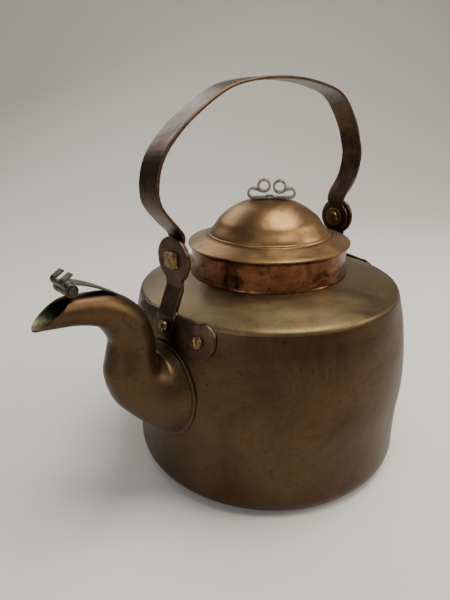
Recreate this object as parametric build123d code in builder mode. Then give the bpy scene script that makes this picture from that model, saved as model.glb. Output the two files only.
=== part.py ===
from build123d import *
import math
import os

# A hammered sheet-copper stovetop kettle with a swing handle, a lift-off lid
# and a hinged flap over the spout. Millimetres, +Z up.
# Origin: centre of the flat base. The spout points along -X.
# "Front" is the spout side (-X) and "rear" is the opposite side (+X).

# ---------------------------------------------------------------- body
body_radius = 116.6        # widest point of the wall
shoulder_height = 148.7    # height of the shoulder's edge
sheet = 1.5                # thickness of the body's sheet
base_corner = 14.0         # radius of the bend between wall and base
base_seam_inset = 4.6      # seam of the base disc inside the start of the bend
shoulder_rise = 9.8        # rise of the shoulder from its edge to the neck
shoulder_crown_share = 0.0195  # bulge above a plain cone, as a share of the shoulder's width
shoulder_crown_bend = 4.88     # radius of that bulge, as a share of the shoulder's width
shoulder_bend = 4.0        # radius of the bend at the shoulder's edge
WALL_PROFILE = [           # (share of the shoulder's height, inset from the widest radius)
    (0.30, 1.9), (0.50, 0.0), (0.70, 1.7), (0.85, 4.8), (0.94, 8.2), (0.979, 10.0)]
wall_foot_inset = 2.0      # inset where the wall meets the base bend
shoulder_inset = 11.6      # inset of the shoulder's edge

# ---------------------------------------------------------------- neck
neck_radius = 64.0
neck_height = 22.6         # neck standing above the shoulder
neck_tuck = 4.0            # length of the neck's tube below the shoulder

# ---------------------------------------------------------------- lid
lid_overhang = 2.0         # rim of the lid beyond the neck
lid_sheet = 1.3
lid_gap = 0.3              # lid to neck
lid_seat_width = 17.5      # width of the lid's sloping rim
lid_rim_rise = 6.2         # rise of that rim
dome_height = 27.8         # dome above the top of the rim
dome_flat = 5.5            # radius of the flat seat under the knob
skirt_length = 13.0        # skirt that hangs inside the neck
skirt_gap = 0.5            # skirt to neck
DOME_PROFILE = [           # (share of the dome's radius, share of its height)
    (0.90, 0.30), (0.84, 0.46), (0.67, 0.70), (0.50, 0.865), (0.33, 0.95)]

# ---------------------------------------------------------------- knob
knob_turn = -49.3          # direction of the knob's strip, degrees from +X
knob_width = 8.0
knob_strip = 1.8
knob_eye = 4.5             # radius of each scroll's eye, at the middle of the strip
knob_eye_left = (-4.3, 10.2)
knob_eye_right = (8.0, 9.4)
knob_end_left = (-13.0, 4.5)
knob_end_right = (16.6, 4.3)
knob_rivet_radius = 2.0
knob_rivet_head = 3.2

# ---------------------------------------------------------------- handle and ears
pivot_lift = 38.3          # pivots above the shoulder's edge
pivot_inset = 5.0          # outer face of the ears inside the shoulder's edge
ear_sheet = 3.2
ear_disc_radius = 16.5
ear_stem_width = 17.5
ear_stem_foot = 4.5        # thickness of the stem at the shoulder
ear_bend_lift = 19.3       # bend of the ears above the shoulder's edge
ear_foot_sheet = 3.0
ear_lobe_offset = 31.0
ear_lobe_radius = 13.0
ear_lobe_drop = 11.6       # centres of the lobes below the shoulder's edge
ear_middle_rivet_lift = 3.5
ear_foot_arch = 16.4       # middle of the foot's lower edge below the shoulder's edge
strap_sheet = 2.5
strap_width = 20.0
strap_neck_width = 15.5
strap_disc_radius = 13.7
strap_gap = 0.3            # strap to ear, and strap to washer
handle_rise = 117.8        # top of the strap above the pivots
pivot_shank = 3.5
pivot_running_fit = 0.08
pivot_head_across = 13.0   # hammered square outer head
pivot_head_height = 3.6
pivot_inner_head = 5.6
washer_radius = 8.3
washer_sheet = 1.2
STRAP_PROFILE = [          # (share of the strap's reach at the pivots, share of the handle's rise)
    (-1.005, 0.150), (-1.045, 0.187), (-1.114, 0.248), (-1.197, 0.352), (-1.197, 0.465), (-1.159, 0.562),
    (-1.067, 0.661), (-0.909, 0.769), (-0.728, 0.861), (-0.540, 0.935), (-0.342, 0.974),
    (0.028, 1.0), (0.337, 0.992), (0.613, 0.959), (0.798, 0.918), (0.917, 0.860),
    (1.002, 0.793), (1.075, 0.722), (1.132, 0.651), (1.173, 0.577), (1.210, 0.503),
    (1.205, 0.390), (1.145, 0.280), (1.067, 0.213), (1.007, 0.160)]

# ---------------------------------------------------------------- foot rivets
rivet_shank = 2.5
rivet_head_radius = 4.9
rivet_head_height = 2.4
rivet_burr_radius = 4.2
rivet_burr_height = 1.3
rivet_seat = 0.15          # head and burr stand this far off the curved sheets at their middle

# ---------------------------------------------------------------- spout
spout_sheet = 1.3
spout_lip_sheet = 1.2      # turned-out lip brazed onto the wall
spout_root_drop = 56.7     # middle of the spout's root below the shoulder's edge
spout_root_half_height = 38.0
spout_root_half_width = 33.0
spout_port_half_height = 26.0
spout_port_half_width = 21.0
# Upper edge and lower edge as (beyond the widest radius, above the shoulder's edge), then half width.
SPOUT_SECTIONS = [
    ((-16.6, -17.7), (-16.6, -96.7), 33.5),
    ((-4.0, -21.1), (-3.4, -92.3), 30.6),
    ((0.8, -25.7), (11.4, -82.7), 27.2),
    ((3.4, -25.2), (26.1, -65.8), 23.0),
    ((4.8, -24.1), (37.5, -49.9), 19.9),
    ((5.4, -22.0), (42.2, -30.7), 18.3),
    ((5.5, -18.2), (39.6, -17.7), 16.9),
    ((5.3, -6.9), (36.8, -7.4), 15.6),
    ((10.8, 9.8), (37.5, -2.8), 14.6),
    ((20.7, 21.5), (41.0, 4.2), 13.2),
    ((34.0, 29.6), (44.9, 8.8), 11.6),
    ((47.1, 32.3), (51.8, 11.9), 10.35),
    ((58.1, 33.4), (61.4, 14.8), 9.35),
    ((70.2, 35.1), (73.1, 16.7), 9.2),
    ((82.2, 36.7), (84.8, 18.5), 9.0)]
spout_joint_section = 8    # the beak is brazed onto the bulb at this section
mouth_lower = (83.4, 19.5)
mouth_upper = (60.4, 33.9)

# ---------------------------------------------------------------- spout flap
flap_pin_x = 61.5          # hinge pin beyond the widest radius
flap_pin_lift = 38.7       # and above the shoulder's edge
flap_pin_radius = 2.6
flap_pin_length = 17.6
flap_knuckle_wall = 1.4
flap_running_fit = 0.08
flap_width = 16.5
flap_sheet = 1.1
flap_strap_knuckle = 6.6   # width of the middle knuckle
flap_knuckle_gap = 0.3
flap_notch_width = 5.0
flap_notch_depth = 4.0
hinge_strap_width = 13.0
hinge_strap_sheet = 1.4
FLAP_PROFILE = [           # from the pin: (towards the mouth, up)
    (3.45, 0.0), (4.9, 3.4), (5.0, 6.0), (2.2, 8.2), (-1.6, 10.4)]
HINGE_STRAP_PROFILE = [    # upper face, from the pin: (towards the body, up)
    (0.0, 4.0), (6.0, 2.9), (14.5, -0.6), (31.5, -10.6)]

os.makedirs("parts", exist_ok=True)

shoulder_radius = body_radius - shoulder_inset
shoulder_top = shoulder_height + shoulder_rise
neck_top = shoulder_top + neck_height
shoulder_width = shoulder_radius - neck_radius
shoulder_crown = shoulder_crown_share * shoulder_width
crown_radius = shoulder_crown_bend * shoulder_width
lid_radius = neck_radius + lid_overhang
pivot_height = shoulder_height + pivot_lift
pivot_reach = shoulder_radius - pivot_inset
ear_bend_height = shoulder_height + ear_bend_lift
spout_root_height = shoulder_height - spout_root_drop
flap_pin_height = shoulder_height + flap_pin_lift
flap_knuckle_radius = flap_pin_radius + flap_knuckle_wall
bend_centre = body_radius - wall_foot_inset - base_corner
base_disc_radius = bend_centre - base_seam_inset
wall_top_radius = body_radius - WALL_PROFILE[-1][1]
wall_top = WALL_PROFILE[-1][0] * shoulder_height


def wall_curve(shift):
    """The wall's side curve, moved outwards by shift."""
    points = [(bend_centre + base_corner + shift, base_corner)]
    for share, inset in WALL_PROFILE:
        points.append((body_radius - inset + shift, share * shoulder_height))
    return points


def wall_edge(shift):
    """Edges of the wall from the flat base up to the shoulder, inside a BuildLine."""
    CenterArc((bend_centre, base_corner), base_corner + shift, -90, 90)
    return Spline(*wall_curve(shift), tangents=[(0, 1), (-0.45, 0.9)])


def save(shape, name):
    shape.label = name
    export_step(shape, f"parts/{name}.step")


# The solid that the closed body would fill: trims whatever sits on the outside.
with BuildPart() as body_fill:
    with BuildSketch(Plane.XZ):
        with BuildLine():
            Line((0, 0), (bend_centre, 0))
            side = wall_edge(0)
            FilletPolyline(
                side @ 1,
                (shoulder_radius, shoulder_height),
                ((shoulder_radius + neck_radius) / 2, (shoulder_height + shoulder_top) / 2 + shoulder_crown),
                (neck_radius, shoulder_top),
                radius=[shoulder_bend, crown_radius])
            Line((neck_radius, shoulder_top), (0, shoulder_top))
            Line((0, shoulder_top), (0, 0))
        make_face()
    revolve(axis=Axis.Z)


def shell_on_wall(thickness):
    """A layer of the given thickness lying on the outside of the wall."""
    with BuildPart() as layer:
        with BuildSketch(Plane.XZ):
            with BuildLine():
                inner = Spline(*wall_curve(0), tangents=[(0, 1), (-0.45, 0.9)])
                outer = Spline(*wall_curve(thickness), tangents=[(0, 1), (-0.45, 0.9)])
                crest = inner @ 1 + (inner % 1) * ear_lobe_radius
                Line(inner @ 0, outer @ 0)
                Polyline(inner @ 1, crest, crest + (thickness, 0), outer @ 1)
            make_face()
        revolve(axis=Axis.Z)
    return layer.part


# ---------------------------------------------------------------- foot rivets
wall_side = Spline(*wall_curve(0), tangents=[(0, 1), (-0.45, 0.9)])


def wall_at(height):
    """Outer radius and slope of the wall at a height, found by halving along its curve."""
    low, high = 0.0, 1.0
    for _ in range(40):
        middle = (low + high) / 2
        if (wall_side @ middle).Y < height:
            low = middle
        else:
            high = middle
    direction = wall_side % low
    return (wall_side @ low).X, -direction.X / direction.Y


def rivet_places(side):
    """Planes on the wall at the three rivets of one ear; side is -1 in front, 1 behind."""
    places = []
    for across, lift in ((-ear_lobe_offset, 0.0), (0.0, ear_middle_rivet_lift), (ear_lobe_offset, 0.0)):
        level = shoulder_height - ear_lobe_drop + lift
        radius, slope = wall_at(level)
        along = side * math.sqrt(radius ** 2 - across ** 2)
        places.append(Plane(origin=(along, across, level), z_dir=(along, across, slope * radius)))
    return places


def rivet_shanks(side):
    with BuildPart() as shanks:
        for place in rivet_places(side):
            with BuildSketch(place):
                Circle(rivet_shank)
            extrude(amount=ear_foot_sheet + rivet_head_height / 2)
            with BuildSketch(place):
                Circle(rivet_shank)
            extrude(amount=-(sheet + rivet_burr_height / 2))
    return shanks.part


front_shanks = rivet_shanks(-1)
rear_shanks = rivet_shanks(1)


# ---------------------------------------------------------------- spout envelope
def section_plane(upper, lower):
    """Plane across the spout through its upper and lower edge points."""
    top = Vector(-(body_radius + upper[0]), 0, shoulder_height + upper[1])
    bottom = Vector(-(body_radius + lower[0]), 0, shoulder_height + lower[1])
    across = (top - bottom).normalized()
    return Plane(origin=(top + bottom) * 0.5, x_dir=across, z_dir=across.cross(Vector(0, 1, 0)))


def oval(length, width):
    """Closed oval of two smooth halves that meet on local x, inside a BuildLine."""
    for side in (1, -1):
        end = (side * length, 0)
        start = (-side * length, 0)
        half = [end]
        for turn in (45, 90, 135):
            angle = math.radians(turn)
            half.append((side * length * math.cos(angle), side * width * math.sin(angle)))
        Spline(*half, start, tangents=[(0, side), (0, -side)])


def spout_solid(inset):
    """The spout as a solid, its surface moved inwards by inset."""
    with BuildPart() as solid:
        for upper, lower, half_width in SPOUT_SECTIONS:
            half_length = math.dist(upper, lower) / 2
            with BuildSketch(section_plane(upper, lower)):
                with BuildLine():
                    oval(half_length - inset, half_width - inset)
                make_face()
        loft()
    return solid.part


def mouth_plane():
    run = Vector(-(body_radius + mouth_lower[0]), 0, shoulder_height + mouth_lower[1])
    rise = Vector(-(body_radius + mouth_upper[0]), 0, shoulder_height + mouth_upper[1])
    slope = (rise - run).normalized()
    return Plane(origin=run, x_dir=(0, 1, 0), z_dir=slope.cross(Vector(0, 1, 0)))


spout_outside = spout_solid(0)
spout_inside = spout_solid(spout_sheet)
joint_upper, joint_lower, joint_half_width = SPOUT_SECTIONS[spout_joint_section]
joint_plane = section_plane(joint_upper, joint_lower)


# ---------------------------------------------------------------- wall, base, shoulder, neck
with BuildPart() as body_wall:
    with BuildSketch(Plane.XZ):
        with BuildLine():
            Line((base_disc_radius, 0), (bend_centre, 0))
            outer = wall_edge(0)
            inner = wall_edge(-sheet)
            Line((bend_centre, sheet), (base_disc_radius, sheet))
            Line((base_disc_radius, sheet), (base_disc_radius, 0))
            Line(outer @ 1, inner @ 1)
        make_face()
    revolve(axis=Axis.Z)
    with BuildSketch(Plane(origin=(0, 0, spout_root_height), x_dir=(0, -1, 0), z_dir=(-1, 0, 0))):
        Ellipse(spout_port_half_width, spout_port_half_height)
    extrude(amount=2 * body_radius, mode=Mode.SUBTRACT)
    add(front_shanks, mode=Mode.SUBTRACT)
    add(rear_shanks, mode=Mode.SUBTRACT)
save(body_wall.part, "body_wall")

with BuildPart() as base_plate:
    with BuildSketch():
        Circle(base_disc_radius)
    extrude(amount=sheet)
save(base_plate.part, "base_plate")

with BuildPart() as shoulder_plate:
    with BuildSketch(Plane.XZ):
        with BuildLine():
            wall_end = Vector(wall_top_radius, wall_top)
            FilletPolyline(
                wall_end,
                (shoulder_radius, shoulder_height),
                ((shoulder_radius + neck_radius) / 2, (shoulder_height + shoulder_top) / 2 + shoulder_crown),
                (neck_radius, shoulder_top),
                radius=[shoulder_bend, crown_radius])
            Line((neck_radius, shoulder_top), (neck_radius, shoulder_top - sheet))
            FilletPolyline(
                (neck_radius, shoulder_top - sheet),
                ((shoulder_radius + neck_radius) / 2,
                 (shoulder_height + shoulder_top) / 2 + shoulder_crown - sheet),
                (shoulder_radius - sheet, shoulder_height - sheet),
                wall_end - (sheet, 0),
                radius=[crown_radius, shoulder_bend - sheet])
            Line(wall_end - (sheet, 0), wall_end)
        make_face()
    revolve(axis=Axis.Z)
save(shoulder_plate.part, "shoulder_plate")

# The lid's rim slopes, and the neck's top edge follows it.
rim_slope = lid_rim_rise / (lid_seat_width + lid_sheet)


def rim_underside(radius):
    """Height of the underside of the lid's rim at a radius."""
    return neck_top + lid_gap + (neck_radius - radius) * rim_slope


with BuildPart() as neck_collar:
    with BuildSketch(Plane.XZ):
        with BuildLine():
            Polyline(
                (neck_radius, shoulder_top - neck_tuck),
                (neck_radius, neck_top),
                (neck_radius - sheet, rim_underside(neck_radius - sheet) - lid_gap),
                (neck_radius - sheet, shoulder_top - neck_tuck),
                close=True)
        make_face()
    revolve(axis=Axis.Z)
save(neck_collar.part, "neck_collar")

# ---------------------------------------------------------------- spout
with BuildPart() as spout_bulb:
    add(spout_outside)
    add(spout_inside, mode=Mode.SUBTRACT)
    split(bisect_by=joint_plane, keep=Keep.BOTTOM)
    add(body_fill.part, mode=Mode.SUBTRACT)
with BuildPart() as spout_lip:
    with BuildSketch(Plane(origin=(0, 0, spout_root_height), x_dir=(0, -1, 0), z_dir=(-1, 0, 0))):
        Ellipse(spout_root_half_width, spout_root_half_height)
    extrude(amount=2 * body_radius)
    add(shell_on_wall(spout_lip_sheet), mode=Mode.INTERSECT)
    add(spout_inside, mode=Mode.SUBTRACT)
save(spout_bulb.part + spout_lip.part, "spout_bulb")

with BuildPart() as spout_beak:
    add(spout_outside)
    add(spout_inside, mode=Mode.SUBTRACT)
    split(bisect_by=joint_plane, keep=Keep.TOP)
    split(bisect_by=mouth_plane(), keep=Keep.BOTTOM)
save(spout_beak.part, "spout_beak")

# ---------------------------------------------------------------- flap over the mouth
pin_x = -(body_radius + flap_pin_x)
pin_plane = Plane(origin=(pin_x, 0, flap_pin_height), x_dir=(-1, 0, 0), z_dir=(0, 1, 0))


def thick_curve(points, thickness, tangents=()):
    """Closed outline of a strip of sheet that lies on one side of a curve, inside a BuildLine."""
    face = Spline(*points, tangents=tangents)
    other = []
    for point in points:
        place = face.param_at_point(point)
        other.append(face @ place + (face % place).rotate(Axis.Z, 90) * thickness)
    back = Spline(*other, tangents=tangents)
    Line(face @ 0, back @ 0)
    Line(face @ 1, back @ 1)


with BuildPart() as hinge_pin:
    with BuildSketch(pin_plane):
        Circle(flap_pin_radius)
    extrude(amount=flap_pin_length / 2, both=True)
save(hinge_pin.part, "flap_hinge_pin")

with BuildPart() as hinge_strap:
    strap_side = Plane(origin=pin_plane.origin, x_dir=(1, 0, 0), z_dir=(0, -1, 0))
    with BuildSketch(strap_side):
        with BuildLine():
            thick_curve(HINGE_STRAP_PROFILE, -hinge_strap_sheet, tangents=[(1, 0), (1, -0.62)])
        make_face()
    extrude(amount=hinge_strap_width / 2, both=True)
    with BuildSketch(strap_side):
        Circle(flap_knuckle_radius + flap_knuckle_gap)
    extrude(amount=hinge_strap_width, both=True, mode=Mode.SUBTRACT)
    with BuildSketch(strap_side):
        with BuildLine():
            thick_curve(HINGE_STRAP_PROFILE, -hinge_strap_sheet, tangents=[(1, 0), (1, -0.62)])
        make_face()
        Circle(flap_knuckle_radius)
        Circle(flap_pin_radius, mode=Mode.SUBTRACT)
    extrude(amount=flap_strap_knuckle / 2, both=True)
    add(spout_outside, mode=Mode.SUBTRACT)
save(hinge_strap.part, "flap_hinge_strap")

with BuildPart() as spout_flap:
    with BuildSketch(pin_plane):
        with BuildLine():
            thick_curve(FLAP_PROFILE, flap_sheet, tangents=[(0, 1), (-1, 0.6)])
        make_face()
        Circle(flap_knuckle_radius)
        Circle(flap_pin_radius + flap_running_fit, mode=Mode.SUBTRACT)
    extrude(amount=flap_width / 2, both=True)
    with BuildSketch(pin_plane):
        Circle(flap_knuckle_radius + flap_knuckle_gap)
    extrude(amount=flap_strap_knuckle / 2 + flap_knuckle_gap, both=True, mode=Mode.SUBTRACT)
    flap_edge = flap_pin_height + FLAP_PROFILE[-1][1]
    with BuildSketch(Plane(origin=(pin_x, 0, flap_edge), x_dir=(0, -1, 0), z_dir=(-1, 0, 0))):
        Rectangle(flap_notch_width, 2 * flap_notch_depth)
    extrude(amount=2 * flap_knuckle_radius, both=True, mode=Mode.SUBTRACT)
save(spout_flap.part, "spout_flap")


# ---------------------------------------------------------------- ears
def outward(side):
    """Plane seen from outside one ear: local x is across the kettle, local y is up."""
    return Plane(origin=(0, 0, 0), x_dir=(0, side, 0), z_dir=(side, 0, 0))


def make_ear(side, shanks):
    """A forged ear: a bow-tie foot on the wall, a leaning stem and a round eye."""
    lobe_height = shoulder_height - ear_lobe_drop
    arch_height = shoulder_height - ear_foot_arch
    brow_height = shoulder_height + 2.4
    with BuildPart() as foot:
        with BuildSketch(outward(side)):
            with BuildLine():
                ThreePointArc(
                    (-ear_lobe_offset + 5, lobe_height - ear_lobe_radius + 0.6),
                    (0, arch_height),
                    (ear_lobe_offset - 5, lobe_height - ear_lobe_radius + 0.6))
                Polyline(
                    (ear_lobe_offset - 5, lobe_height - ear_lobe_radius + 0.6),
                    (ear_lobe_offset - 3, lobe_height + ear_lobe_radius - 0.6),
                    (ear_stem_width / 2, brow_height),
                    (-ear_stem_width / 2, brow_height),
                    (-ear_lobe_offset + 3, lobe_height + ear_lobe_radius - 0.6),
                    (-ear_lobe_offset + 5, lobe_height - ear_lobe_radius + 0.6))
            make_face()
            with Locations((-ear_lobe_offset, lobe_height), (ear_lobe_offset, lobe_height)):
                Circle(ear_lobe_radius)
        extrude(amount=2 * body_radius)
        add(shell_on_wall(ear_foot_sheet), mode=Mode.INTERSECT)
    inner_face = pivot_reach - ear_sheet
    foot_face = wall_top_radius + ear_foot_sheet
    with BuildPart() as stem:
        with BuildSketch(Plane.XZ):
            with BuildLine():
                Polyline(
                    (side * inner_face, pivot_height),
                    (side * pivot_reach, pivot_height),
                    (side * pivot_reach, ear_bend_height),
                    (side * (foot_face - 0.6), brow_height - 2),
                    (side * foot_face, wall_top),
                    (side * (foot_face + 0.6), wall_top - 4),
                    (side * (foot_face - ear_foot_sheet - 1), wall_top - 4),
                    (side * (foot_face - ear_stem_foot - 1.2), brow_height - 1),
                    (side * inner_face, ear_bend_height - 1.5),
                    close=True)
            make_face()
        extrude(amount=ear_stem_width / 2, both=True)
        add(body_fill.part, mode=Mode.SUBTRACT)
    with BuildPart() as ear:
        add(foot.part)
        add(stem.part)
        with BuildSketch(outward(side).offset(inner_face)):
            with Locations((0, pivot_height)):
                Circle(ear_disc_radius)
        extrude(amount=ear_sheet)
        with BuildSketch(outward(side).offset(inner_face - ear_sheet)):
            with Locations((0, pivot_height)):
                Circle(pivot_shank)
        extrude(amount=3 * ear_sheet, mode=Mode.SUBTRACT)
        add(shanks, mode=Mode.SUBTRACT)
    return ear.part


front_ear_part = make_ear(-1, front_shanks)
rear_ear_part = make_ear(1, rear_shanks)
save(front_ear_part, "front_ear")
save(rear_ear_part, "rear_ear")


def make_foot_rivets(side, shanks):
    """Three rivets through one ear's foot: shank, hammered outer head, flat inner burr."""
    with BuildPart() as rivets:
        add(shanks)
        for place in rivet_places(side):
            with BuildSketch(place.offset(ear_foot_sheet)):
                Circle(rivet_head_radius)
            extrude(amount=rivet_head_height, taper=14)
            with BuildSketch(place.offset(-sheet - rivet_seat)):
                Circle(rivet_burr_radius)
            extrude(amount=-rivet_burr_height)
    return rivets.part


save(make_foot_rivets(-1, front_shanks), "front_ear_rivets")
save(make_foot_rivets(1, rear_shanks), "rear_ear_rivets")

# ---------------------------------------------------------------- handle
strap_outer_face = pivot_reach - ear_sheet - strap_gap
strap_inner_face = strap_outer_face - strap_sheet
washer_outer_face = strap_inner_face - strap_gap
washer_inner_face = washer_outer_face - washer_sheet


def strap_points():
    """The strap's outer face, from one eye over the top to the other."""
    bends = [(share * strap_outer_face, pivot_height + rise * handle_rise) for share, rise in STRAP_PROFILE]
    front_neck = (-strap_outer_face, pivot_height + ear_disc_radius - 5)
    rear_neck = (strap_outer_face, pivot_height + ear_disc_radius - 5)
    return [front_neck] + bends + [rear_neck]


with BuildPart() as handle_strap:
    with BuildSketch(Plane.XZ):
        with BuildLine():
            thick_curve(strap_points(), -strap_sheet)
        make_face()
        for side in (-1, 1):
            middle = side * (strap_outer_face - strap_sheet / 2)
            leg_top = pivot_height + ear_disc_radius - 5
            leg_bottom = pivot_height - strap_disc_radius
            with Locations((middle, (leg_top + leg_bottom) / 2)):
                Rectangle(strap_sheet, leg_top - leg_bottom)
    extrude(amount=strap_width, both=True)
    with BuildSketch(Plane.YZ.offset(-2 * pivot_reach)):
        neck_start = pivot_height + strap_disc_radius - 3
        neck_end = pivot_height + ear_disc_radius + 8
        with BuildLine():
            Polyline(
                (-strap_neck_width / 2, neck_start),
                (-strap_width / 2, neck_end),
                (-strap_width / 2, pivot_height + 2 * handle_rise),
                (strap_width / 2, pivot_height + 2 * handle_rise),
                (strap_width / 2, neck_end),
                (strap_neck_width / 2, neck_start),
                close=True)
        make_face()
        with Locations((0, pivot_height)):
            Circle(strap_disc_radius)
            Circle(pivot_shank + pivot_running_fit, mode=Mode.SUBTRACT)
    extrude(amount=4 * pivot_reach, mode=Mode.INTERSECT)
save(handle_strap.part, "handle_strap")


def make_pivot_rivet(side):
    """Pivot rivet: round inner head, shank and a hammered square outer head."""
    with BuildPart() as rivet:
        with BuildSketch(outward(side).offset(washer_inner_face)):
            with Locations((0, pivot_height)):
                Circle(pivot_shank)
        extrude(amount=pivot_reach - washer_inner_face)
        with BuildSketch(outward(side).offset(pivot_reach)):
            with Locations((0, pivot_height)):
                RectangleRounded(pivot_head_across, pivot_head_across, pivot_head_across / 5)
        extrude(amount=pivot_head_height, taper=24)
        with BuildSketch(outward(side).offset(washer_inner_face)):
            with Locations((0, pivot_height)):
                Circle(pivot_inner_head)
        extrude(amount=-washer_sheet - 1, taper=25)
    return rivet.part


def make_pivot_washer(side):
    with BuildPart() as washer:
        with BuildSketch(outward(side).offset(washer_inner_face)):
            with Locations((0, pivot_height)):
                Circle(washer_radius)
                Circle(pivot_shank, mode=Mode.SUBTRACT)
        extrude(amount=washer_sheet)
    return washer.part


save(make_pivot_rivet(-1), "front_pivot_rivet")
save(make_pivot_rivet(1), "rear_pivot_rivet")
save(make_pivot_washer(-1), "front_pivot_washer")
save(make_pivot_washer(1), "rear_pivot_washer")

# ---------------------------------------------------------------- lid
dome_radius = lid_radius - lid_seat_width
rim_top = rim_underside(lid_radius) + lid_sheet
dome_foot = rim_top + lid_rim_rise
lid_top = dome_foot + dome_height


def dome_points(shift):
    """The dome's profile from its foot to its flat top, moved inwards by shift."""
    points = [(dome_radius - shift, dome_foot - shift)]
    for radius_share, height_share in DOME_PROFILE:
        points.append((radius_share * dome_radius - shift * radius_share,
                       dome_foot + height_share * dome_height - shift))
    points.append((dome_flat, lid_top - shift))
    return points


with BuildPart() as lid_dome:
    with BuildSketch(Plane.XZ):
        with BuildLine():
            Line((lid_radius, rim_top), (dome_radius, dome_foot))
            Spline(*dome_points(0), tangents=[(-0.15, 1), (-1, 0)])
            Polyline(
                (dome_flat, lid_top),
                (knob_rivet_radius, lid_top),
                (knob_rivet_radius, lid_top - lid_sheet),
                (dome_flat, lid_top - lid_sheet))
            Spline(*dome_points(lid_sheet), tangents=[(-0.15, 1), (-1, 0)])
            Polyline(
                (dome_radius - lid_sheet, dome_foot - lid_sheet),
                (lid_radius, rim_top - lid_sheet),
                (lid_radius, rim_top))
        make_face()
    revolve(axis=Axis.Z)
save(lid_dome.part, "lid_dome")

skirt_radius = neck_radius - sheet - skirt_gap
with BuildPart() as lid_skirt:
    with BuildSketch(Plane.XZ):
        with BuildLine():
            skirt_top = rim_underside(skirt_radius)
            Polyline(
                (skirt_radius, skirt_top),
                (skirt_radius, skirt_top - skirt_length),
                (skirt_radius - lid_sheet, skirt_top - skirt_length),
                (skirt_radius - lid_sheet, rim_underside(skirt_radius - lid_sheet)),
                close=True)
        make_face()
    revolve(axis=Axis.Z)
save(lid_skirt.part, "lid_skirt")

# ---------------------------------------------------------------- knob
knob_direction = Vector(1, 0, 0).rotate(Axis.Z, knob_turn)
knob_plane = Plane(
    origin=(0, 0, lid_top), x_dir=knob_direction, z_dir=knob_direction.cross(Vector(0, 0, 1)))
strip_half = knob_strip / 2


def scroll_side(eye, end, way):
    """One half of the double scroll: the rounded end, the return above the base and the eye."""
    end_radius = end[1] - strip_half
    crest = (end[0], strip_half + 2 * end_radius)
    under_eye = (eye[0], eye[1] - knob_eye)
    with BuildSketch() as half:
        with Locations(end):
            Circle(end_radius + strip_half)
            Circle(end_radius - strip_half, mode=Mode.SUBTRACT)
        with Locations((end[0] - way * knob_eye, end[1])):
            Rectangle(2 * knob_eye, 2 * (end_radius + strip_half), mode=Mode.SUBTRACT)
        with BuildLine():
            low = Spline(
                (crest[0], crest[1] - strip_half), (under_eye[0], under_eye[1] - strip_half),
                tangents=[(-way, 0), (-way, 0)])
            high = Spline(
                (crest[0], crest[1] + strip_half), (under_eye[0], under_eye[1] + strip_half),
                tangents=[(-way, 0), (-way, 0)])
            Line(low @ 0, high @ 0)
            Line(low @ 1, high @ 1)
        make_face()
        with Locations(eye):
            Circle(knob_eye + strip_half)
            Circle(knob_eye - strip_half, mode=Mode.SUBTRACT)
    return half.sketch


with BuildPart() as knob_scroll:
    with BuildSketch(knob_plane):
        add(scroll_side(knob_eye_left, knob_end_left, -1))
        add(scroll_side(knob_eye_right, knob_end_right, 1))
        with Locations(((knob_end_left[0] + knob_end_right[0]) / 2, strip_half)):
            Rectangle(knob_end_right[0] - knob_end_left[0], knob_strip)
    extrude(amount=knob_width / 2, both=True)
    with BuildSketch(Plane.XY.offset(lid_top)):
        Circle(knob_rivet_radius)
    extrude(amount=knob_strip, mode=Mode.SUBTRACT)
save(knob_scroll.part, "knob_scroll")

with BuildPart() as knob_rivet:
    with BuildSketch(Plane.XY.offset(lid_top - lid_sheet)):
        Circle(knob_rivet_radius)
    extrude(amount=lid_sheet + knob_strip)
    with BuildSketch(Plane.XY.offset(lid_top + knob_strip)):
        Circle(knob_rivet_head)
    extrude(amount=rivet_burr_height, taper=30)
    with BuildSketch(Plane.XY.offset(lid_top - lid_sheet)):
        Circle(knob_rivet_head)
    extrude(amount=-rivet_burr_height, taper=30)
save(knob_rivet.part, "knob_rivet")
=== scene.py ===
import math

import bmesh
import bpy
from mathutils import Matrix, Vector, noise


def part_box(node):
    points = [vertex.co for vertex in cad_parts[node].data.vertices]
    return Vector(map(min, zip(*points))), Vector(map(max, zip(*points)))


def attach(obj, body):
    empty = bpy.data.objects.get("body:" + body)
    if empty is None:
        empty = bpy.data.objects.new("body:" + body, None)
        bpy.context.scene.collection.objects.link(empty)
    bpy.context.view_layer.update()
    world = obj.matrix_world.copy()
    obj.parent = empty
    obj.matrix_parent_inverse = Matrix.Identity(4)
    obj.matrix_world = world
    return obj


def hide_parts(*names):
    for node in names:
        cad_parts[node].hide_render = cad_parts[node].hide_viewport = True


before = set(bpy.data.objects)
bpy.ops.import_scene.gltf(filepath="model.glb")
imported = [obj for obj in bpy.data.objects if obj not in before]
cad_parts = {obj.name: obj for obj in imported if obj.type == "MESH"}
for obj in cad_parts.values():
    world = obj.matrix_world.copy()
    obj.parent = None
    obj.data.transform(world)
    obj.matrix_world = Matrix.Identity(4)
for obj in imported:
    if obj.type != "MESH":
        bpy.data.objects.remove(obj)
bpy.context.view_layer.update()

# An old hand-raised copper kettle: sheet-copper body, forged ears and strap, bent-strip knob.
# Lengths below are in millimetres; MM turns them into the frame's metres.

MM = 0.001


# ---------------------------------------------------------------- sizes read from the frame
def far_corner(node):
    """Highest corner of a CAD node's box, in millimetres."""
    low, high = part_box(node)
    return high / MM


wall_far = far_corner("body_wall")
collar_far = far_corner("neck_collar")
lid_far = far_corner("lid_dome")
base_far = far_corner("base_plate")

WALL_TOP_RADIUS = 106.6
WALL_TOP_SHARE = 0.979                    # the wall's top as a share of the shoulder edge's height
RIM_ABOVE_COLLAR = 1.55                   # gap and sheet at the lid's rim, over the collar's top edge

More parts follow.
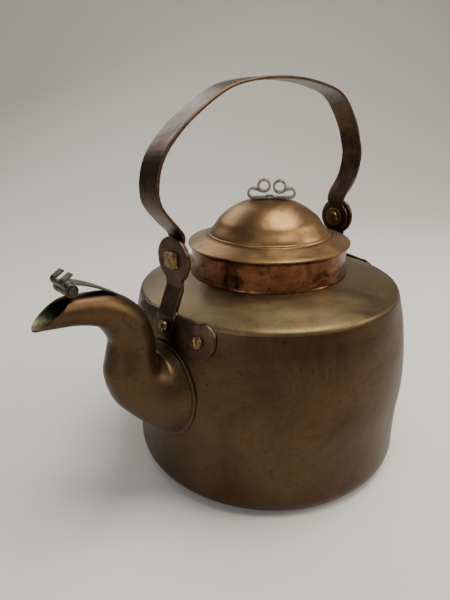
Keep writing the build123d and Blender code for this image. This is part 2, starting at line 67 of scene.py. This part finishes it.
BELLY = wall_far.y                        # widest radius of the wall
WALL_TOP = wall_far.z
SHOULDER_EDGE = WALL_TOP / WALL_TOP_SHARE
SHEET = base_far.z
BASE_DISC = base_far.x
NECK = collar_far.x
COLLAR_TOP = collar_far.z
NECK_FOOT = far_corner("shoulder_plate").z
LID = lid_far.x
LID_RIM = COLLAR_TOP + RIM_ABOVE_COLLAR
LID_TOP = lid_far.z


# ---------------------------------------------------------------- colours and node trees
def hex_colour(code):
    """sRGB hex to the linear colour that the shader takes."""
    channels = []
    for i in (0, 2, 4):
        value = int(code[i:i + 2], 16) / 255
        channels.append(value / 12.92 if value <= 0.04045 else ((value + 0.055) / 1.055) ** 2.4)
    return (*channels, 1.0)


def add(tree, kind, inputs=None, **settings):
    """Add one node: plain values and links by socket name or number, the rest as settings."""
    node = tree.nodes.new(kind)
    for name, value in settings.items():
        setattr(node, name, value)
    for key, value in (inputs or {}).items():
        if isinstance(value, bpy.types.NodeSocket):
            tree.links.new(value, node.inputs[key])
        else:
            node.inputs[key].default_value = value
    return node


MIX_FACTOR, MIX_A, MIX_B, MIX_RESULT = 0, 6, 7, 2      # colour sockets of the mix node


def per_metre(size_mm):
    """Noise scale whose features are about size_mm across."""
    return 1.0 / (size_mm * MM)


def ramp(tree, factor, stops):
    """Colour ramp through (position, hex) stops."""
    node = add(tree, "ShaderNodeValToRGB", {"Fac": factor})
    elements = node.color_ramp.elements
    while len(elements) < len(stops):
        elements.new(0.5)
    for element, (position, code) in zip(elements, stops):
        element.position = position
        element.color = hex_colour(code)
    return node.outputs["Color"]


def new_material(name):
    material = bpy.data.materials.new(name)
    material.use_nodes = True
    tree = material.node_tree
    tree.nodes.clear()
    output = add(tree, "ShaderNodeOutputMaterial")
    place = add(tree, "ShaderNodeTexCoord").outputs["Object"]
    return material, tree, output, place


def patinated_metal(name, cloud, cloud_size, fleck, fleck_size, rough, dent_size, dent_depth, edge=None):
    """Metal with cloudy patina, fine flecks, uneven polish and a bumpy hand-worked surface."""
    material, tree, output, place = new_material(name)
    drift = add(tree, "ShaderNodeTexNoise", {
        "Vector": place, "Scale": per_metre(cloud_size), "Detail": 6.0, "Roughness": 0.62, "Distortion": 0.6})
    clouds = ramp(tree, drift.outputs["Fac"], cloud)
    specks = add(tree, "ShaderNodeTexNoise", {
        "Vector": place, "Scale": per_metre(fleck_size), "Detail": 4.0, "Roughness": 0.7})
    speck_mask = add(tree, "ShaderNodeMapRange", {
        "Value": specks.outputs["Fac"], "From Min": 0.56, "From Max": 0.72, "To Min": 0.0, "To Max": 0.75})
    colour = add(tree, "ShaderNodeMix", {
        MIX_FACTOR: speck_mask.outputs["Result"], MIX_A: clouds, MIX_B: hex_colour(fleck)}, data_type="RGBA")
    tint = colour.outputs[MIX_RESULT]
    # An edge colour lightens sharp convex edges: a painted highlight.
    if edge:
        edge_highlight_mask = add(tree, "ShaderNodeMapRange", {
            "Value": add(tree, "ShaderNodeNewGeometry").outputs["Pointiness"],
            "From Min": 0.53, "From Max": 0.60, "To Min": 0.0, "To Max": 0.8})
        edge_highlighted = add(tree, "ShaderNodeMix", {
            MIX_FACTOR: edge_highlight_mask.outputs["Result"], MIX_A: tint, MIX_B: hex_colour(edge)}, data_type="RGBA")
        tint = edge_highlighted.outputs[MIX_RESULT]
    polish = add(tree, "ShaderNodeMapRange", {
        "Value": drift.outputs["Fac"], "From Min": 0.3, "From Max": 0.7,
        "To Min": rough[0], "To Max": rough[1]})
    hammer = add(tree, "ShaderNodeTexNoise", {
        "Vector": place, "Scale": per_metre(dent_size), "Detail": 3.0, "Roughness": 0.45})
    grain = add(tree, "ShaderNodeTexNoise", {
        "Vector": place, "Scale": per_metre(0.9), "Detail": 3.0, "Roughness": 0.7})
    planish = add(tree, "ShaderNodeBump", {
        "Height": hammer.outputs["Fac"], "Distance": dent_depth * MM, "Strength": 0.9})
    skin = add(tree, "ShaderNodeBump", {
        "Height": grain.outputs["Fac"], "Distance": 0.05 * MM, "Strength": 0.5,
        "Normal": planish.outputs["Normal"]})
    surface = add(tree, "ShaderNodeBsdfPrincipled", {
        "Base Color": tint, "Metallic": 1.0, "Roughness": polish.outputs["Result"],
        "Normal": skin.outputs["Normal"]})
    tree.links.new(surface.outputs["BSDF"], output.inputs["Surface"])
    return material


# Raised sheet copper gone olive and brown with age: a satin skin with slow cloudy colour changes.
aged_copper = patinated_metal(
    "raised_sheet_copper_olive_patina",
    [(0.30, "4c3f2e"), (0.45, "615137"), (0.58, "6b5a3d"), (0.72, "55422f")], 60.0,
    "4a392a", 3.0, (0.38, 0.52), 26.0, 0.9)
# The wall and the spout below the shoulder have a browner patina; their warmer red tone is a painted
# reflection of a red cloth.
brown_copper_painted_red_reflection = patinated_metal(
    "raised_sheet_copper_brown_patina_painted_red",
    [(0.28, "3b2b1f"), (0.45, "4d3b29"), (0.58, "57442f"), (0.74, "452d20")], 70.0,
    "32261c", 3.0, (0.34, 0.50), 24.0, 0.8)
# The lid is a lighter and warmer bronze, a painted highlight of its dome, with a softer gloss.
lid_copper_painted_highlight = patinated_metal(
    "sheet_copper_warm_bronze_painted_highlight",
    [(0.28, "5d4b38"), (0.44, "785c3c"), (0.58, "876742"), (0.74, "694a33")], 40.0,
    "544131", 2.6, (0.32, 0.46), 18.0, 0.7)
# The collar keeps its red copper shine between tool marks and dark stains; part of its red is a painted
# reflection of a red cloth.
red_copper_and_painted_reflection = patinated_metal(
    "scoured_sheet_copper_red_painted_reflection",
    [(0.26, "35231a"), (0.42, "5f3d28"), (0.56, "785033"), (0.76, "553122")], 16.0,
    "2d2019", 4.0, (0.20, 0.36), 12.0, 0.8)
# Forged bronze with a dark umber oxide; lighter only along its edges, a painted highlight.
dark_bronze = patinated_metal(
    "forged_bronze_umber_oxide",
    [(0.28, "352721"), (0.46, "48372d"), (0.60, "574433"), (0.76, "3e2d26")], 22.0,
    "271d18", 2.0, (0.28, 0.44), 9.0, 0.5, edge="9c8258")
# The ears' feet and rivets are a lighter, browner gold: a painted highlight.
rivet_bronze_painted_highlight = patinated_metal(
    "peened_bronze_heads_painted_highlight",
    [(0.28, "4d3a2a"), (0.46, "6f5638"), (0.60, "8a6e48"), (0.76, "57412e")], 5.0,
    "2a1e17", 1.4, (0.24, 0.40), 2.2, 0.6, edge="c2a878")
# Thin sheet at the mouth, dull grey-green from steam.
steamed_copper = patinated_metal(
    "thin_sheet_copper_steam_green",
    [(0.28, "2c2a26"), (0.46, "413e35"), (0.60, "524e40"), (0.76, "37322b")], 8.0,
    "1e1c19", 1.6, (0.30, 0.48), 5.0, 0.4, edge="8a8268")
# Bent iron strip, grey and handled smooth.
iron_strip = patinated_metal(
    "bent_iron_strip_grey",
    [(0.28, "5f5850"), (0.46, "8a8278"), (0.60, "a39b90"), (0.76, "6d6357")], 6.0,
    "3a332c", 1.2, (0.24, 0.38), 3.0, 0.2, edge="d8d2c6")
# The inside is wiped with tin, now grey with green and rust-brown spots.
tin_lining = patinated_metal(
    "wiped_tin_lining_spotted",
    [(0.28, "3a3528"), (0.44, "5c5742"), (0.58, "6a654f"), (0.76, "4b3a26")], 7.0,
    "3d2a1a", 1.5, (0.40, 0.58), 4.0, 0.4)


# ---------------------------------------------------------------- curves and meshes
def smooth_path(points, steps):
    """Points on a curve that passes through every given point, with steps spans between two."""
    rows = [Vector(p) for p in points]
    rows = [rows[0] * 2 - rows[1]] + rows + [rows[-1] * 2 - rows[-2]]
    path = []
    for a, b, c, d in zip(rows, rows[1:], rows[2:], rows[3:]):
        for i in range(steps):
            t = i / steps
            path.append(0.5 * (2 * b + (c - a) * t + (2 * a - 5 * b + 4 * c - d) * t ** 2
                               + (3 * b - a - 3 * c + d) * t ** 3))
    path.append(rows[-2])
    return path


def ripple(point, size, seed=0.0):
    """Smooth noise from -1 to 1 whose humps are about size millimetres across."""
    return noise.noise(Vector(point) / size + Vector((seed, seed, seed)))


def as_object(bm, name, body, nodes, materials, sharp=35.0, closed=True):
    """Turn a bmesh in millimetres into a piece that rides on a body and stands for CAD nodes."""
    if closed:
        bmesh.ops.recalc_face_normals(bm, faces=bm.faces)
    for vertex in bm.verts:
        vertex.co *= MM
    for face in bm.faces:
        face.smooth = True
    for edge in bm.edges:
        edge.smooth = edge.calc_face_angle(0.0) < math.radians(sharp)
    mesh = bpy.data.meshes.new(name)
    bm.to_mesh(mesh)
    bm.free()
    piece = bpy.data.objects.new(name, mesh)
    bpy.context.scene.collection.objects.link(piece)
    for material in materials:
        mesh.materials.append(material)
    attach(piece, body)
    if nodes:
        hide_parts(*nodes)
    return piece


def lathe(profile, turns, warp, inner_from=None):
    """Spin a closed (radius, height) profile; warp moves each point; rows from inner_from are lining."""
    bm = bmesh.new()
    grid = []
    for i in range(turns):
        angle = math.tau * i / turns
        ring = []
        for radius, height in profile:
            r, z = warp(angle, radius, height)
            ring.append(bm.verts.new((r * math.cos(angle), r * math.sin(angle), z)))
        grid.append(ring)
    rows = len(profile)
    for i in range(turns):
        here, there = grid[i], grid[(i + 1) % turns]
        for j in range(rows):
            k = (j + 1) % rows
            face = bm.faces.new((here[j], there[j], there[k], here[k]))
            if inner_from is not None and j >= inner_from:
                face.material_index = 1
    bmesh.ops.remove_doubles(bm, verts=bm.verts, dist=0.001)
    return bm


# ---------------------------------------------------------------- body
WALL_SHARES = [(0.30, 1.9), (0.50, 0.0), (0.70, 1.7), (0.85, 4.8), (0.94, 8.2), (WALL_TOP_SHARE, 10.0)]
BASE_BEND = 14.0
BEND_CENTRE = BELLY - 2.0 - BASE_BEND


def wall_profile(inset):
    """(radius, height) from the base bend's centre up to the shoulder, moved inwards."""
    bend = []
    for i in range(9):
        turn = math.radians(90 * i / 8)
        reach = BASE_BEND - inset
        bend.append((BEND_CENTRE + reach * math.sin(turn), BASE_BEND - reach * math.cos(turn)))
    side = [(bend[-1][0], bend[-1][1])]
    side += [(BELLY - step - inset, share * SHOULDER_EDGE) for share, step in WALL_SHARES]
    return bend[:-1] + [(p.x, p.y) for p in smooth_path([(r, z, 0) for r, z in side], 6)]


def wall_radius(height):
    """Outer radius of the wall at a height."""
    profile = wall_profile(0.0)
    for (r0, z0), (r1, z1) in zip(profile, profile[1:]):
        if z0 <= height <= z1:
            return r0 + (r1 - r0) * (height - z0) / (z1 - z0)
    return profile[-1][0]


def hammered_wall(angle, radius, height):
    """The wall's soft planishing waves, always inwards, fading out at the base and the shoulder."""
    fade = max(0.0, min(1.0, (height - 3) / 18, (WALL_TOP - height) / 10))
    point = (BELLY * math.cos(angle), BELLY * math.sin(angle), height)
    wave = 0.35 * (1 + ripple(point, 38)) + 0.10 * (1 + ripple(point, 13, 7.0))
    return radius - fade * wave, height


def build_wall():
    outer = [(BASE_DISC, 0.0)] + wall_profile(0.0)
    inner = [(r, z) for r, z in reversed(wall_profile(SHEET))] + [(BASE_DISC, SHEET)]
    bm = lathe(outer + inner, 192, hammered_wall, len(outer))
    return as_object(bm, "wall_sheet", "kettle", ["body_wall"], [brown_copper_painted_red_reflection, tin_lining])


def shoulder_profile(inset):
    """(radius, height) of the shoulder's skin from the wall's top, round the edge, to the neck."""
    edge = [(WALL_TOP_RADIUS, WALL_TOP), (106.1, 147.0), (105.3, 148.1), (104.0, 148.95), (101.5, 149.7)]
    crown = smooth_path([(r, z, 0) for r, z in (edge[-1], (93, 152.0), (84.5, 154.4), (74, 156.6),
                                                (NECK + 0.1, NECK_FOOT))], 6)
    skin = edge[:-1] + [(p.x, p.y) for p in crown]
    return [(r - inset * 0.35, z - inset) if z > 147.5 else (r - inset, z - inset * 0.2) for r, z in skin]


def hammered_shoulder(angle, radius, height):
    point = (radius * math.cos(angle), radius * math.sin(angle), height)
    fade = max(0.0, min(1.0, (105 - radius) / 8, (radius - NECK) / 6))
    wave = 0.28 * ripple(point, 30, 3.0) + 0.10 * ripple(point, 11, 9.0)
    edge_wave = 0.35 * (1 + ripple(point, 45, 5.0)) * max(0.0, min(1.0, (radius - 98) / 6))
    return radius - edge_wave * 0.4, height + fade * wave - edge_wave * 0.3


def build_shoulder():
    outer = shoulder_profile(0.0)
    inner = [(r, z) for r, z in reversed(shoulder_profile(SHEET))]
    inner[-1] = (WALL_TOP_RADIUS - SHEET, WALL_TOP)
    bm = lathe(outer + inner, 192, hammered_shoulder, len(outer))
    return as_object(
        bm, "shoulder_sheet", "kettle", ["shoulder_plate"], [aged_copper, tin_lining])


def dented_collar(angle, radius, height):
    """The neck is knocked about: long dents with crisp ends, deepest half-way up."""
    middle = math.sin(math.pi * min(1.0, max(0.0, (height - NECK_FOOT) / (COLLAR_TOP - NECK_FOOT))))
    point = (NECK * math.cos(angle), NECK * math.sin(angle), height * 1.6)
    dent = max(0.0, ripple(point, 15, 4.0)) * 1.5 + 0.35 * (1 + ripple(point, 9, 2.0))
    flute = 0.35 * (1 + ripple((point[0], point[1], 0), 22, 11.0))
    return radius - middle * dent - flute * 0.6, height


def build_collar():
    foot = NECK_FOOT
    outer = [(NECK - 0.1, foot - 3), (NECK - 0.1, foot), (NECK, foot + 0.5), (NECK - 0.4, foot + 1.4)]
    outer += [(NECK - 0.4, foot + 1.4 + (COLLAR_TOP - foot - 3.2) * i / 12) for i in range(1, 13)]
    outer += [(NECK - 0.15, COLLAR_TOP - 1.0), (NECK, COLLAR_TOP - 0.35)]
    inner = [(NECK - 1.5, COLLAR_TOP - 0.2), (NECK - 1.9, foot + 10), (NECK - 1.9, foot - 3)]
    bm = lathe(outer + inner, 192, dented_collar, len(outer))
    return as_object(
        bm, "neck_collar_sheet", "kettle", ["neck_collar"], [red_copper_and_painted_reflection, tin_lining])


# ---------------------------------------------------------------- lid
def lid_profile(inset):
    """(radius, height) of the lid's skin: turned rim, sloping brim, groove, bead and dome."""
    rim = LID_RIM
    step = rim + 6.3
    brim = [(LID - 0.25, rim - 1.5), (LID, rim - 0.9), (LID - 0.1, rim - 0.2), (LID - 0.9, rim + 0.25)]
    slope = [(LID - 4, rim + 1.3), (LID - 9, rim + 3.2), (LID - 13, rim + 4.5)]
    bead = [(50.6, step - 0.9), (50.0, step - 0.95), (49.5, step - 0.5), (49.2, step + 0.35),
            (48.6, step + 0.75), (47.9, step + 0.75)]
    dome = [(47.0, step + 2.4), (43.0, 197.0), (39.5, 201.7), (32, 207.7), (24, 212.2), (16, 214.7),
            (9, 215.7), (5, LID_TOP), (0.0, LID_TOP)]
    curve = smooth_path([(r, z, 0) for r, z in dome], 4)
    skin = brim + slope + bead + [(max(0.0, p.x), p.y) for p in curve]
    if not inset:
        return skin
    return [(max(0.0, r - inset * 0.5), z - inset) for r, z in skin[3:]]


def dented_lid(angle, radius, height):
    """A rim that waves up and down and a dome with a few shallow knocks."""
    point = (radius * math.cos(angle), radius * math.sin(angle), height)
    brim = max(0.0, min(1.0, (radius - 52) / 12))
    rim_wave = 0.55 * ripple((LID * math.cos(angle), LID * math.sin(angle), 0), 26, 6.0)
    pull = 0.30 * (1 + ripple((LID * math.cos(angle), LID * math.sin(angle), 0), 17, 8.0))
    dome = max(0.0, min(1.0, (47 - radius) / 10, radius / 12))
    knock = 0.22 * ripple(point, 20, 12.0) + 0.5 * min(0.0, ripple(point, 9, 15.0) + 0.35)
    return radius - brim * pull, height + brim * rim_wave + dome * knock


def build_lid():
    outer = lid_profile(0.0)
    inner = list(reversed(lid_profile(1.2)))
    bm = lathe(outer + inner, 192, dented_lid, len(outer))
    return as_object(bm, "lid_sheet", "lid", ["lid_dome"], [lid_copper_painted_highlight, tin_lining])


# ---------------------------------------------------------------- spout
SPOUT = [                 # upper edge, lower edge: (beyond the widest radius, height), half width
    ((0.8, 123.0), (11.4, 66.0), 27.2),
    ((3.4, 123.3), (26.1, 82.9), 23.0),
    ((4.9, 124.6), (37.5, 98.8), 19.9),
    ((5.5, 127.2), (42.2, 118.0), 18.2),
    ((5.5, 132.5), (39.6, 131.0), 16.8),
    ((5.6, 141.8), (36.8, 141.3), 15.7),
    ((10.8, 158.0), (37.5, 145.9), 14.6),
    ((20.7, 170.0), (41.0, 152.9), 13.3),
    ((34.0, 178.3), (44.9, 157.5), 11.7),
    ((47.1, 181.0), (51.8, 160.6), 10.4),
    ((58.1, 182.1), (61.4, 163.5), 9.5),
    ((70.2, 183.8), (73.1, 165.4), 9.3),
    ((82.2, 185.4), (84.8, 167.2), 9.1)]
SPOUT_ROOT = 92.0
SPOUT_ROOT_HALF = (30.4, 35.2)
SPOUT_LIP = 2.6
MOUTH_LOWER = Vector((-(BELLY + 83.0), 0, 168.2))
MOUTH_UPPER = Vector((-(BELLY + 60.4), 0, 182.6))
SPOUT_SIDES = 64


def on_wall(across, height, lift):
    """Point on the front of the wall, lifted off it."""
    radius = wall_radius(height) + lift
    return Vector((-math.sqrt(max(1.0, radius ** 2 - across ** 2)), across, height))


def spout_ring(upper, lower, half_width):
    """Oval ring of points across the spout, starting at its upper edge."""
    top = Vector((-(BELLY + upper[0]), 0, upper[1]))
    bottom = Vector((-(BELLY + lower[0]), 0, lower[1]))
    middle, reach = (top + bottom) / 2, (top - bottom) / 2
    ring = []
    for i in range(SPOUT_SIDES):
        turn = math.tau * i / SPOUT_SIDES
        ring.append(middle + reach * math.cos(turn) + Vector((0, half_width * math.sin(turn), 0)))
    return ring


def root_ring(widen, lift):
    ring = []
    for i in range(SPOUT_SIDES):
        turn = math.tau * i / SPOUT_SIDES
        across = (SPOUT_ROOT_HALF[0] + widen) * math.sin(turn)
        height = SPOUT_ROOT + (SPOUT_ROOT_HALF[1] + widen) * math.cos(turn)
        ring.append(on_wall(across, height, lift))
    return ring


def spout_rings():
    """Rings from the root on the wall to beyond the mouth, six spans between two sections."""
    stations = [root_ring(0.0, 1.0)] + [spout_ring(*row) for row in SPOUT]
    columns = [smooth_path([ring[i] for ring in stations], 6) for i in range(SPOUT_SIDES)]
    return [list(ring) for ring in zip(*columns)]


def build_spout():
    """One raised tube with its lip on the wall, cut off slantwise at the mouth."""
    bm = bmesh.new()
    rings = [root_ring(SPOUT_LIP, 0.1), root_ring(SPOUT_LIP, 0.9), root_ring(SPOUT_LIP - 0.5, 1.2),
             root_ring(0.7, 1.15)] + spout_rings()
    rows = []
    for ring in rings:
        row = []
        for point in ring:
            shift = 0.16 * ripple(point, 16, 1.0)
            row.append(bm.verts.new(point + Vector((shift, shift, 0))))
        rows.append(row)
    for low, high in zip(rows, rows[1:]):
        for i in range(SPOUT_SIDES):
            j = (i + 1) % SPOUT_SIDES
            bm.faces.new((low[i], low[j], high[j], high[i]))
    slope = (MOUTH_UPPER - MOUTH_LOWER).normalized()
    up = Vector((slope.z * -1, 0, slope.x))
    everything = bm.verts[:] + bm.edges[:] + bm.faces[:]
    bmesh.ops.bisect_plane(bm, geom=everything, plane_co=MOUTH_LOWER, plane_no=up, clear_outer=True)
    bmesh.ops.remove_doubles(bm, verts=bm.verts, dist=0.05)
    piece = as_object(bm, "spout_sheet", "kettle", ["spout_bulb", "spout_beak"], [brown_copper_painted_red_reflection, tin_lining],
                      60.0, closed=False)
    solid = piece.modifiers.new("sheet_thickness", "SOLIDIFY")
    solid.thickness = 1.2 * MM
    solid.offset = -1
    solid.material_offset = 1
    solid.material_offset_rim = 0
    bevel = piece.modifiers.new("rubbed_rim", "BEVEL")
    bevel.width = 0.35 * MM
    bevel.segments = 2
    bevel.limit_method = "ANGLE"
    bevel.angle_limit = math.radians(60)
    return piece


# ---------------------------------------------------------------- forged and bent pieces
def forged(name, node, body, material, slot, grain, rounds, dent, dent_size):
    """A CAD piece with its edges rounded by the hammer: close remesh, smoothing, then shallow dents."""
    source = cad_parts[node]
    copy = bpy.data.objects.new(name, source.data.copy())
    bpy.context.scene.collection.objects.link(copy)
    copy.data.materials.clear()
    remesh = copy.modifiers.new("close_mesh", "REMESH")
    remesh.mode = "VOXEL"
    remesh.voxel_size = grain * MM
    relax = copy.modifiers.new("rounded_edges", "SMOOTH")
    relax.factor = 0.5
    relax.iterations = rounds
    depsgraph = bpy.context.evaluated_depsgraph_get()
    mesh = bpy.data.meshes.new_from_object(copy.evaluated_get(depsgraph))
    bpy.data.objects.remove(copy)
    normals = [vertex.normal.copy() for vertex in mesh.vertices]
    for vertex, normal in zip(mesh.vertices, normals):
        point = vertex.co / MM
        vertex.co -= normal * (dent * 0.5 * (1 + ripple(point, dent_size, 3.0)) * MM)
    for polygon in mesh.polygons:
        polygon.use_smooth = True
    mesh.name = name
    mesh.materials.append(material)
    piece = bpy.data.objects.new(name, mesh)
    bpy.context.scene.collection.objects.link(piece)
    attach(piece, body)
    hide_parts(node)
    return piece


FORGED = [                # piece, node, body, material, slot, remesh, smoothing, dent depth, dent size
    ("ear_front_forging", "front_ear", "kettle", dark_bronze, "ear_bronze", 0.75, 3, 0.25, 9),
    ("ear_rear_forging", "rear_ear", "kettle", dark_bronze, "ear_bronze", 0.75, 3, 0.25, 9),
    ("ear_front_rivet_heads", "front_ear_rivets", "kettle", rivet_bronze_painted_highlight, "ear_bronze", 0.35, 3, 0.8, 2.6),
    ("ear_rear_rivet_heads", "rear_ear_rivets", "kettle", rivet_bronze_painted_highlight, "ear_bronze", 0.35, 3, 0.8, 2.6),
    ("pivot_front_forging", "front_pivot_rivet", "kettle", rivet_bronze_painted_highlight, "ear_bronze", 0.4, 3, 0.7, 4),
    ("pivot_rear_forging", "rear_pivot_rivet", "kettle", rivet_bronze_painted_highlight, "ear_bronze", 0.4, 3, 0.7, 4),
    ("pivot_front_washer", "front_pivot_washer", "kettle", rivet_bronze_painted_highlight, "ear_bronze", 0.3, 2, 0.1, 3),
    ("pivot_rear_washer", "rear_pivot_washer", "kettle", rivet_bronze_painted_highlight, "ear_bronze", 0.3, 2, 0.1, 3),
    ("handle_strap_forging", "handle_strap", "handle", dark_bronze, "ear_bronze", 0.65, 3, 0.22, 14),
    ("knob_bent_strip", "knob_scroll", "lid", iron_strip, "knob_steel", 0.3, 2, 0.12, 3),
    ("flap_hinge_leaf", "flap_hinge_strap", "kettle", steamed_copper, "dark_copper", 0.3, 2, 0.1, 5),
    ("flap_bent_leaf", "spout_flap", "spout_flap", steamed_copper, "dark_copper", 0.28, 2, 0.08, 4),
    ("flap_hinge_wire", "flap_hinge_pin", "kettle", steamed_copper, "dark_copper", 0.3, 2, 0.1, 3),
    ("knob_rivet_head", "knob_rivet", "lid", iron_strip, "knob_steel", 0.25, 2, 0.1, 2),
]

build_wall()
build_shoulder()
build_collar()
build_lid()
build_spout()
for row in FORGED:
    forged(*row)
for node, material in (("base_plate", brown_copper_painted_red_reflection), ("lid_skirt", tin_lining)):
    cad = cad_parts[node]
    cad.data.materials.clear()
    cad.data.materials.append(material)


# ---------------------------------------------------------------- floor, light and camera
def build_floor():
    """A pale matt sweep that rises behind the kettle."""
    bm = bmesh.new()
    bend_start, bend, half_width = 0.9, 1.1, 3.4      # metres
    path = [Vector((-2.0, 0, 0))]
    for i in range(41):
        turn = math.radians(90 * i / 40)
        path.append(Vector((bend_start + bend * math.sin(turn), bend * (1 - math.cos(turn)), 0)))
    path.append(Vector((bend_start + bend, 3.2, 0)))
    away = Vector((0.693, 0.721, 0))
    along = Vector((-away.y, away.x, 0))
    rows = []
    for point in path:
        middle = away * point.x + Vector((0, 0, point.y))
        rows.append([bm.verts.new(middle + along * side * half_width) for side in (-1, 1)])
    for low, high in zip(rows, rows[1:]):
        bm.faces.new((low[0], low[1], high[1], high[0]))
    for face in bm.faces:
        face.smooth = True
    mesh = bpy.data.meshes.new("studio_sweep")
    bm.to_mesh(mesh)
    bm.free()
    floor = bpy.data.objects.new("studio_sweep", mesh)
    bpy.context.scene.collection.objects.link(floor)
    material, tree, output, place = new_material("matt_paper_sweep")
    surface = add(tree, "ShaderNodeBsdfPrincipled", {"Base Color": hex_colour("d6d2cb"), "Roughness": 0.9})
    tree.links.new(surface.outputs["BSDF"], output.inputs["Surface"])
    mesh.materials.append(material)


def build_light(name, place, target, size, power, tint="ffffff"):
    lamp = bpy.data.lights.new(name, "AREA")
    lamp.shape = "RECTANGLE"
    lamp.size, lamp.size_y = size
    lamp.energy = power
    lamp.color = hex_colour(tint)[:3]
    light = bpy.data.objects.new(name, lamp)
    light.location = place
    light.rotation_euler = (Vector(target) - Vector(place)).to_track_quat("-Z", "Y").to_euler()
    bpy.context.scene.collection.objects.link(light)


def build_camera():
    """Lens and place of the camera, looking down at the kettle from the spout's near side."""
    place = Vector((-0.29268, -0.25201, 0.28289))
    forward = Vector((0.6440, 0.6693, -0.3705)).normalized()
    up = Vector((0.2660, 0.2582, 0.9287))
    right = forward.cross(up).normalized()
    up = right.cross(forward)
    lens = bpy.data.cameras.new("camera")
    lens.sensor_width = 36.0
    lens.lens = 28.8
    camera = bpy.data.objects.new("camera", lens)
    camera.matrix_world = Matrix.Translation(place) @ Matrix((right, up, -forward)).transposed().to_4x4()
    bpy.context.scene.collection.objects.link(camera)
    bpy.context.scene.camera = camera


build_floor()
build_light("overhead_softbox", (0.25, -0.25, 1.25), (0, 0, 0.15), (0.8, 0.6), 17)
build_light("right_softbox", (0.9, -1.1, 0.9), (0, 0, 0.12), (0.7, 0.7), 14, "fff4e6")
build_light("left_fill", (-1.3, -0.2, 0.7), (0, 0, 0.12), (0.8, 0.8), 5, "eef2ff")
build_light("back_fill", (0.2, 1.3, 1.1), (0, 0, 0.15), (1.0, 0.6), 7)
world = bpy.data.worlds.new("studio")
world.use_nodes = True
world.node_tree.nodes["Background"].inputs["Color"].default_value = hex_colour("b8b6b2")
world.node_tree.nodes["Background"].inputs["Strength"].default_value = 0.55
bpy.context.scene.world = world
build_camera()
